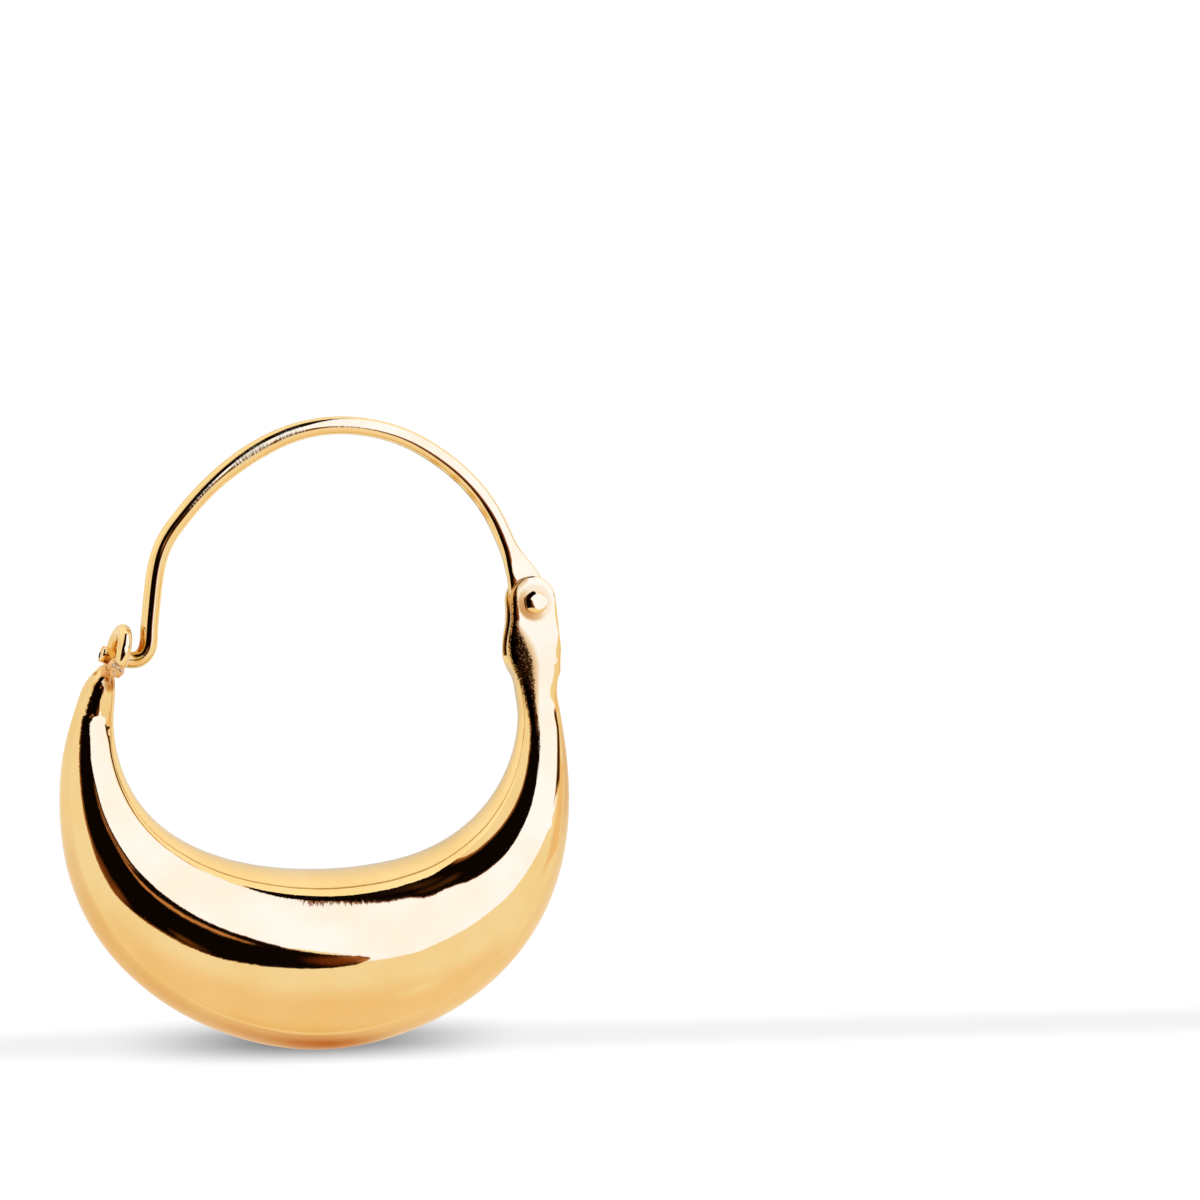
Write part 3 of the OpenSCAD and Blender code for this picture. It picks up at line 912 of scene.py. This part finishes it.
waist = rivet.add(rivet_ring(rivet_radius, 0))
for side in (1, -1):
    previous = rivet.add(rivet_ring(rivet_radius, side * head_seat))
    bridge(rivet.faces, waist, previous)
    for share, height, shift in head_rows:
        ring = rivet_ring(share * head_radius, side * (head_seat + height), flats, shift)
        numbers = rivet.add(ring)
        bridge(rivet.faces, previous, numbers)
        previous = numbers
    top = [rivet_at[0] + head_rows[-1][2], rivet_at[1], side * (head_seat + head_rows[-1][1])]
    bridge(rivet.faces, previous, rivet.add([top]) * rivet_sides)
rivet.points = file_flat(np.array(rivet.points)).tolist()
peened_rivet = outward_piece("peened_rivet", rivet)
head_bend = math.radians(30)
peened_rivet.data.set_sharp_from_angle(angle=head_bend)
lay_marks(peened_rivet, rivet_at, along=0.5)
paint(peened_rivet, "marks", [((11.3, 10.0, 0.9), 0.2, 0.2)])
peened_rivet.data.materials.append(gold_plate(
    "rivet gold", cloud_mm=1.0, fine_mm=0.1, long_mm=0.3, polish=0.05, dull=0.2, depth=0.003))
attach(peened_rivet, "hoop")
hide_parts("hinge_rivet")

# Ear wire. Hard-drawn, gold-plated round wire, bent into an arch, hooked at its tip, and
# hammered flat at the other end, where an eye takes the rivet.
wire_d, blade_thick, blade_width = 0.92, 0.5, 1.9
eye_play = 0.05
# Columns: u, v, width in the hoop's plane as a share of the wire's, share of the way to flat,
# and how far the middle is bent towards the front, or back where it is below 0
wire_rows = np.array([
    [-11.35, 7.46, 0.92, 0, 0],
    [-10.9, 7.34, 0.92, 0, 0],
    [-10.4, 7.25, 0.92, 0, 0],
    [-9.9, 7.15, 0.92, 0, 0],
    [-9.4, 7.25, 0.95, 0, 0],
    [-9.05, 7.65, 1, 0, 0],
    [-8.92, 8.5, 1, 0, 0],
    [-8.82, 9.7, 1, 0, 0],
    [-8.68, 11, 1, 0, 0],
    [-8.48, 12.1, 1, 0, 0],
    [-8.05, 13.2, 1, 0, 0],
    [-7.3, 14.25, 1, 0, 0],
    [-6.2, 15.5, 1, 0, 0],
    [-4.9, 16.67, 1.03, 0.04, 0],
    [-3.4, 17.7, 1.07, 0.1, 0],
    [-1.8, 18.49, 1.03, 0.1, 0],
    [-0.2, 18.93, 1, 0.12, 0],
    [1.4, 19.05, 1, 0.16, -0.04],
    [3, 18.88, 1, 0.22, -0.09],
    [4.66, 18.4, 1, 0.28, -0.135],
    [6.18, 17.6, 1, 0.32, -0.16],
    [7.58, 16.56, 1, 0.32, -0.17],
    [8.67, 15.42, 1, 0.3, -0.175],
    [9.42, 14.3, 1, 0.24, -0.18],
    [9.9, 13.3, 1, 0.25, -0.17],
    [10.24, 12.55, 1.1, 0.5, -0.11],
    [10.5, 12, 1.4, 0.85, -0.03],
    [10.8, 11.35, 1.8, 1, 0.03],
    [11.05, 10.7, 2.1, 1, 0],
    [rivet_at[0], rivet_at[1], blade_width / wire_d, 1, 0],
])
wire_steps = np.linalg.norm(np.diff(wire_rows[:, :2], axis=0), axis=1)
wire_at = np.concatenate([[0], np.cumsum(wire_steps)])
wire_curve = smooth_curve(wire_at, wire_rows)
wire_sides = 40
wire_turns = np.linspace(0, 2 * math.pi, wire_sides, endpoint=False)
route_steps, near_step = 420, 0.01
route_at = np.linspace(0, wire_at[-1], route_steps)
route = wire_curve(route_at)
way = wire_curve(route_at + near_step)[:, :2] - wire_curve(route_at - near_step)[:, :2]
way /= np.linalg.norm(way, axis=1)[:, None]
side_way = np.column_stack([way[:, 1], -way[:, 0]])
wire_flat = np.clip(route[:, 3], 0, 1)
wire_across = wire_d / 2 + wire_flat * (blade_thick - wire_d) / 2
wire_half = route[:, 2] * wire_d / 2
blade_square, blade_twist, twist_reach = 4, 0.05, 0.2
wire_square = 2 + blade_square * wire_flat
wire = Parts()
body = section_ring(route[:, :2], side_way, wire_half, wire_across, wire_square, wire_turns[None])
inwards = (body[:, :, :2] - route[:, None, :2]) @ side_way[:, :, None]
wire_twist = blade_twist * ease(wire_flat, 0, twist_reach)
body[:, :, 2] += route[:, 4:5] + wire_twist[:, None] * inwards[:, :, 0]
wire_rings = [wire.add(ring) for ring in body]
# The cut tip, with its edge just broken
tip_back, tip_bevel, tip_taper = way[:1], 0.07, 0.6
previous = wire_rings[0]
for share in (0.35, 0.75, 1):
    back = tip_bevel * (1 - math.cos(share * math.pi / 2))
    shrink = 1 - tip_bevel / (wire_d / 2) * math.sin(share * math.pi / 2) * tip_taper
    ring = section_ring(
        route[:1, :2] - tip_back * (tip_bevel - back), side_way[:1], wire_half[:1] * shrink,
        wire_across[:1] * shrink, wire_square[:1], wire_turns[None])[0]
    numbers = wire.add(ring)
    bridge(wire.faces, numbers, previous)
    previous = numbers
tip_middle = route[0, :2] - tip_back[0] * tip_bevel
wire_tip = wire.add([[tip_middle[0], tip_middle[1], 0]])[0]
bridge(wire.faces, [wire_tip] * wire_sides, previous)
for low, high in zip(wire_rings, wire_rings[1:]):
    bridge(wire.faces, low, high)
# The round end of the flat, past the rivet
previous = wire_rings[-1]
for lift in np.radians([8, 16, 24, 32, 40, 48, 56, 64, 72, 80, 86]):
    end_shift = way[-1:] * blade_width / 2 * math.sin(lift)
    ring = section_ring(
        route[-1:, :2] + end_shift, side_way[-1:], wire_half[-1:] * math.cos(lift),
        wire_across[-1:], wire_square[-1:], wire_turns[None])[0]
    ring[:, 2] += blade_twist * (ring[:, :2] - route[-1, :2] - end_shift) @ side_way[-1]
    numbers = wire.add(ring)
    bridge(wire.faces, previous, numbers)
    previous = numbers
half_turn = wire_sides // 2
quarter = half_turn // 2
near = [previous[(quarter + j) % len(previous)] for j in range(half_turn + 1)]
far = [previous[(quarter - j) % len(previous)] for j in range(half_turn + 1)]
bridge(wire.faces, near, far, closed=False)
bent_ear_wire = outward_piece("bent_ear_wire", wire)
drill(bent_ear_wire, rivet_radius + eye_play)
bent_ear_wire.data.set_sharp_from_angle(angle=sharp_bend)
arch_middle, arch_radius = (0.5, 9.5), 9.5
lay_marks(bent_ear_wire, arch_middle, along=arch_radius, open_side=-1)
paint(bent_ear_wire, "marks", [
    ((-9.5, 7.4, 0.2), 0.9, 0.35),
    ((-3.6, 17.5, 0.3), 1.6, 0.9),
    ((-1.6, 18.4, 0.3), 1.2, 0.7),
    ((-6.2, 15.4, 0.3), 1.5, 0.4),
    ((1.4, 18.9, 0.3), 1.5, 0.3),
])
# Painted shade, orange-brown: at the hooked tip under the loop, round the inside of the bend, and
# along the inner side of the arch
paint(bent_ear_wire, "soil", [
    ((-11.25, 7.42, 0.5), 0.2, 1.0),
    ((-11.2, 7.05, 0.3), 0.3, 0.7),
    ((-9.3, 7.85, 0.1), 0.5, 0.9),
    ((-9.2, 8.6, -0.1), 0.5, 0.6),
    ((-9.65, 7.4, 0.42), 0.45, 0.7),
    ((8.75, 14.5, -0.2), 0.55, 0.4),
    ((8.0, 15.4, -0.15), 0.55, 0.4),
    ((7.1, 16.25, -0.1), 0.55, 0.4),
    ((6.0, 17.0, -0.05), 0.55, 0.3),
])
wire_shade_brown = (0.66, 0.32, 0.045, 1)
bent_ear_wire.data.materials.append(gold_plate(
    "wire gold", cloud_mm=2.0, fine_mm=0.14, long_mm=0.6, polish=0.05, dull=0.25, depth=0.015,
    soil_colour=wire_shade_brown))
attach(bent_ear_wire, "ear_wire")
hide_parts("ear_wire")

# Camera, at the photographed angle to the earring: 18 degrees round from straight in front
view_turn, view_rise, view_roll = np.radians([18.0, 0.21, -0.09])
view_distance = 350.0
pixels_per_mm = 19.65
frame_pixels = 1200
hoop_middle_px = (319.7, 799.5)
towards = np.array([
    -math.sin(view_turn) * math.cos(view_rise), math.sin(view_rise),
    math.cos(view_turn) * math.cos(view_rise)])
level = np.array([math.cos(view_turn), 0, math.sin(view_turn)])
upright = np.cross(towards, level)
right = math.cos(view_roll) * level + math.sin(view_roll) * upright
up = np.cross(towards, right)
shift_right = (frame_pixels / 2 - hoop_middle_px[0]) / pixels_per_mm
shift_up = (hoop_middle_px[1] - frame_pixels / 2) / pixels_per_mm
eye = right * shift_right + up * shift_up + towards * view_distance
hoop_axes = np.array([AXIS_U, AXIS_V, AXIS_W])
right, up, towards = right @ hoop_axes, up @ hoop_axes, towards @ hoop_axes
camera_data = bpy.data.cameras.new("camera")
camera_data.sensor_width = 36
camera_data.lens = pixels_per_mm * view_distance / frame_pixels * camera_data.sensor_width
camera_data.clip_end = 10
camera = in_scene("camera", camera_data)
camera.matrix_world = Matrix.Translation(Vector(on_table(eye))) @ Matrix(
    np.column_stack([right, up, towards]).tolist()).to_4x4()
bpy.context.scene.camera = camera

# Table, a plain pale sheet. The camera sees it bright, as in the photograph's white ground.
table_mesh = bpy.data.meshes.new("table")
reach = 6
table_corners = [(-reach, -reach, 0), (reach, -reach, 0), (reach, reach, 0), (-reach, reach, 0)]
table_mesh.from_pydata(table_corners, [], [[0, 1, 2, 3]])
table = in_scene("table", table_mesh)
paper = bpy.data.materials.new("pale sheet")
paper.use_nodes = True
paper_tree = paper.node_tree
sheet = paper_tree.nodes["Principled BSDF"]
seen = put(paper_tree, "ShaderNodeLightPath").outputs["Is Camera Ray"]
lit_tone, seen_tone = (0.88, 0.875, 0.87, 1), (0.12, 0.12, 0.12, 1)
sheet_tone = mix_colour(paper_tree, seen, lit_tone, seen_tone)
paper_tree.links.new(sheet_tone, sheet.inputs["Base Color"])
# A painted shadow: a soft dark band on the sheet below the belly, strongest in its middle
shadow_y = (-0.0179, -0.0165, -0.0163, -0.0149)
shadow_x, shadow_half = 0.0012, 0.0115
shadow_dark, shadow_pale = 0.86, 0.2
sheet_at = put(paper_tree, "ShaderNodeSeparateXYZ",
               Vector=put(paper_tree, "ShaderNodeTexCoord").outputs["Object"]).outputs
low = soft_step(paper_tree, sheet_at["Y"], shadow_y[0], shadow_y[1])
high = soft_step(paper_tree, sheet_at["Y"], shadow_y[2], shadow_y[3], low=1.0, high=0.0)
aside = maths(paper_tree, "ABSOLUTE", maths(paper_tree, "SUBTRACT", sheet_at["X"], shadow_x))
under = soft_step(paper_tree, aside, 0.0, shadow_half, low=shadow_dark, high=shadow_pale)
painted_shadow = maths(paper_tree, "MULTIPLY", maths(paper_tree, "MULTIPLY", low, high), under)
seen_glow, other_glow = 0.95, 0.1
bright = maths(paper_tree, "SUBTRACT", seen_glow, painted_shadow)
lit = put(paper_tree, "ShaderNodeMix", {"data_type": "FLOAT"}, Factor=seen, _2=other_glow, _3=bright)
paper_tree.links.new(lit.outputs[0], sheet.inputs["Emission Strength"])
sheet.inputs["Emission Color"].default_value = (1, 1, 1, 1)
sheet.inputs["Roughness"].default_value = 0.7
sheet.inputs["Specular IOR Level"].default_value = 0.1
table_mesh.materials.append(paper)

# Soft light: a white tent all round, a bright window in it, and dark and warm cards beside and
# below the camera. Only the polished metal shows the tent's panels.
world = bpy.data.worlds.new("white tent")
bpy.context.scene.world = world
world.use_nodes = True
world.node_tree.nodes["Background"].inputs["Color"].default_value = (1, 1, 1, 1)
world.node_tree.nodes["Background"].inputs["Strength"].default_value = 1.0


def tent_way(across, height):
    """Direction at so many degrees right of the camera and above it, seen from the earring."""
    off = np.radians(np.hypot(across, height))
    scale = np.where(off > 0, np.sin(off) / np.maximum(off, 1e-9), 1.0)
    return (
        np.cos(off)[..., None] * towards
        + (np.radians(across) * scale)[..., None] * right
        + (np.radians(height) * scale)[..., None] * up
    )


# What all lit sheets are made of: light in the tint that is painted on the sheet
lit_cloth = bpy.data.materials.new("lit cloth")
lit_cloth.use_nodes = True
cloth_tree = lit_cloth.node_tree
cloth_tree.nodes.clear()
tinted = put(cloth_tree, "ShaderNodeAttribute", {"attribute_name": "glow"}).outputs["Vector"]
light = put(cloth_tree, "ShaderNodeEmission", Color=tinted, Strength=1.0)
put(cloth_tree, "ShaderNodeOutputMaterial", Surface=light.outputs[0])
lit_cloth.cycles.emission_sampling = "NONE"


def lit_sheet(name, points, tint):
    """A sheet through a grid of points that glows in the tint given at each of them. Only
    reflections in polished metal show it."""
    mesh = bpy.data.meshes.new(name)
    corner = np.arange(points.shape[0] * points.shape[1]).reshape(points.shape[:2])
    faces = np.stack([corner[:-1, :-1], corner[:-1, 1:], corner[1:, 1:], corner[1:, :-1]], -1)
    mesh.from_pydata(points.reshape(-1, 3).tolist(), [], faces.reshape(-1, 4).tolist())
    glow = mesh.attributes.new("glow", "FLOAT_VECTOR", "POINT")
    glow.data.foreach_set("vector", tint.astype(np.float32).ravel())
    mesh.materials.append(lit_cloth)
    sheet = in_scene(name, mesh)
    for ray in ("camera", "diffuse", "transmission", "volume_scatter", "shadow"):
        setattr(sheet, "visible_" + ray, False)


panel_grid = 140


def tent_panel(name, rows, distance, colour, rim_colour, rim, patches=()):
    """A panel of the tent, at a distance in metres. rows: height, left and right edge, in
    degrees from the camera. rim: how many degrees its left and right edges, and its low and
    high ones, take to reach the full colour. patches: across, height, radius and colour of
    soft spots on it."""
    rows = np.array(rows, float)
    heights = np.linspace(rows[0, 0], rows[-1, 0], panel_grid)
    left = np.interp(heights, rows[:, 0], rows[:, 1])[:, None]
    right_edge = np.interp(heights, rows[:, 0], rows[:, 2])[:, None]
    across = left + (right_edge - left) * np.linspace(0, 1, panel_grid)
    height = np.repeat(heights[:, None], panel_grid, 1)
    inside = ease(across - left, 0, rim[0]) * ease(right_edge - across, 0, rim[1])
    inside *= ease(height - heights[0], 0, rim[2]) * ease(heights[-1] - height, 0, rim[3])
    tint = np.array(rim_colour) + inside[..., None] * (np.array(colour) - rim_colour)
    for spot_across, spot_height, radius, spot_colour in patches:
        near = 1 - ease(np.hypot(across - spot_across, height - spot_height), 0, radius)
        tint += near[..., None] * (np.array(spot_colour) - tint)
    lit_sheet(name, tent_way(across, height) * distance, tint)


tent_panel("warm floor card", [
    (-118, -75, 95), (-90, -80, 100), (-60, -85, 110), (-24, -70, 100),
], distance=2.4, colour=(0.975, 0.83, 0.69), rim_colour=(1, 1, 1), rim=(50, 40, 1, 30), patches=[
    (55, -50, 12, (1, 0.97, 0.9)), (-40, -106, 26, (0.92, 0.72, 0.47)),
    (-15, -106, 30, (0.9, 0.7, 0.44)), (14, -106, 32, (0.9, 0.7, 0.43)),
    (42, -108, 28, (0.92, 0.74, 0.5)),
])
tent_panel("bright window", [
    (-5, 38, 46), (-3, 38, 51), (0, 35.5, 53.5), (3, 33.5, 57), (5, 32.5, 62), (7, 31.5, 69),
    (9, 29, 79), (10, 25, 83), (12, 16, 83), (15, 12, 79), (18, 10, 77), (22, 10, 84),
    (26, 11, 89), (30, 12, 90), (40, 18, 86), (50, 22, 81),
    (60, 24, 74), (70, 25, 63), (77, 26, 54), (81, 30, 42),
], distance=2.2, colour=(1.13, 1.47, 2.97), rim_colour=(1, 0.98, 1.0), rim=(3, 3, 2, 3))
tent_panel("black card", [
    (-20, -10, 2), (-19, -19, 7), (-17, -24.5, 11), (-14, -27.5, 17), (-12, -28.5, 22),
    (-9, -29.5, 31.5), (-6, -30, 37), (-3, -30, 39.5),
    (0, -30, 40), (3, -31, 37), (5, -31, 34), (8, -31, 27), (11, -31, 24), (13, -30, 22),
    (16, -31, 19), (19, -31, 16), (22, -30.5, 14), (26, -30, 14.5), (28, -29, 16), (31, -28, 21),
    (35, -25, 25), (40, -21, 25.6), (50, -16, 26.5), (60, -10, 27.4), (67, -6, 28.1), (75, -4, 28.4),
    (79, -5, 35), (83, -7, 38), (88, -9, 36), (94, -8, 20),
], distance=2.0, colour=(0.004, 0.002, 0.001), rim_colour=(0.42, 0.16, 0.05),
           rim=(7, 1.2, 2.2, 5), patches=[
    (18.3, 8.5, 2.3, (0.75, 0.36, 0.18)), (16, 8.1, 2.5, (0.82, 0.40, 0.21)),
    (13.6, 8.4, 2.6, (0.82, 0.40, 0.21)), (11.4, 9.8, 2.6, (0.8, 0.36, 0.18)),
    (10.2, 11.8, 2.0, (0.7, 0.3, 0.15)), (10.8, 14.2, 1.9, (0.6, 0.26, 0.12)),
    (13.4, 15.8, 1.9, (0.55, 0.24, 0.11)),
    (30, -2, 5, (0.1, 0.02, 0.004)), (35, 0, 5, (0.42, 0.13, 0.045)), (38, -2, 3, (0.7, 0.32, 0.14)),
    (-20, -13, 8, (0.2, 0.06, 0.015)), (-24, -6, 7, (0.16, 0.05, 0.012)),
    (33, -1, 8, (0.16, 0.04, 0.008)), (37, 3, 5, (0.4, 0.15, 0.05)), (19, 64, 7, (0.07, 0.03, 0.012)),
    (18, 76, 7, (0.05, 0.02, 0.008)), (4, -15, 4, (0.15, 0.05, 0.01)),
])
tent_panel("narrow card", [
    (12, 75, 90), (14, 75, 92), (17, 76, 94), (20, 80, 98), (24, 90, 106), (30, 91, 106),
    (36, 90, 102), (42, 87, 97), (48, 84, 92), (54, 80, 88), (60, 75, 81), (66, 68, 74),
    (72, 60, 66), (77, 48, 54),
], distance=2.1, colour=(0.06, 0.02, 0.004), rim_colour=(0.8, 0.55, 0.35), rim=(3, 4, 2, 30))
tent_panel("warm side card", [
    (-16, 84, 118), (16, 84, 124),
], distance=2.3, colour=(0.94, 0.74, 0.55), rim_colour=(1, 1, 1), rim=(9, 3, 8, 4))

# A painted shadow: a glowing brown sheet on the table below the belly, seen only in the metal, stands
# in for shade on the table beside the belly, which the belly's lowest edge mirrors. It is brown near
# the belly and pales to the tent's white far off.
card_columns, card_rows = 150, 90
card_height = 0.00004
card_pale, card_warm = np.array([0.97, 0.95, 0.94]), np.array([0.98, 0.87, 0.72])
card_shadow = np.array([0.58, 0.24, 0.09])
card_near, card_far = 13.4, 2500
card_turns = np.linspace(-128, 106, card_columns)
card_reach = np.geomspace(card_near, card_far, card_rows)
turn_share = np.interp(card_turns, [
    -128, -84, -76, -60, -34, -19, -6, 2, 9, 14, 23, 34, 45, 60, 80, 88, 98, 106], [
    0, 0, 0.2, 0.2, 0.27, 0.38, 0.66, 0.95, 1.05, 0.9, 0.34, 0.06, 0.02, 0.02, 0.1, 0.35, 0.35, 0])
reach_share = np.interp(card_reach, [13.5, 15, 18, 21, 25, 31, 41, 62, 80, 90], [
    0.5, 0.7, 0.9, 1, 0.95, 0.75, 0.56, 0.5, 0.3, 0])
card_turn, card_away = np.radians(card_turns)[:, None], card_reach[None]
card_points = np.stack([
    card_away * np.sin(card_turn), -card_away * np.cos(card_turn),
    np.zeros((card_columns, card_rows)),
], -1)
card_places = on_table(card_points.reshape(-1, 3))
card_places[:, 2] = card_height
warm_from, warm_to = (-76, -48), (46, 74)
warm_share = ease(card_turns, *warm_from) * ease(-card_turns, -warm_to[1], -warm_to[0])
card_base = card_pale + warm_share[:, None, None] * (card_warm - card_pale)
card_tint = card_base + (turn_share[:, None] * reach_share)[..., None] * (card_shadow - card_base)
lit_sheet("painted shadow card", card_places.reshape(card_columns, card_rows, 3), card_tint)

# One soft lamp above, for the table's own light. The metal doesn't mirror it.
key_data = bpy.data.lights.new("soft key", "AREA")
key_data.shape = "RECTANGLE"
key_data.size = 0.9
key_data.size_y = 0.9
key_data.energy = 15
key = in_scene("soft key", key_data)
key_across, key_height, key_distance = 8.0, 48.0, 1.8
key_way = tent_way(np.array(key_across), np.array(key_height))
key.location = Vector(key_way * key_distance)
key.rotation_mode = "QUATERNION"
key.rotation_quaternion = Vector(key_way).to_track_quat("Z", "Y")
key.visible_glossy = False

# The picture's colours have no film curve, and the metal throws no spots of light
scene = bpy.context.scene
scene.view_settings.view_transform = "Standard"
scene.cycles.caustics_reflective = False
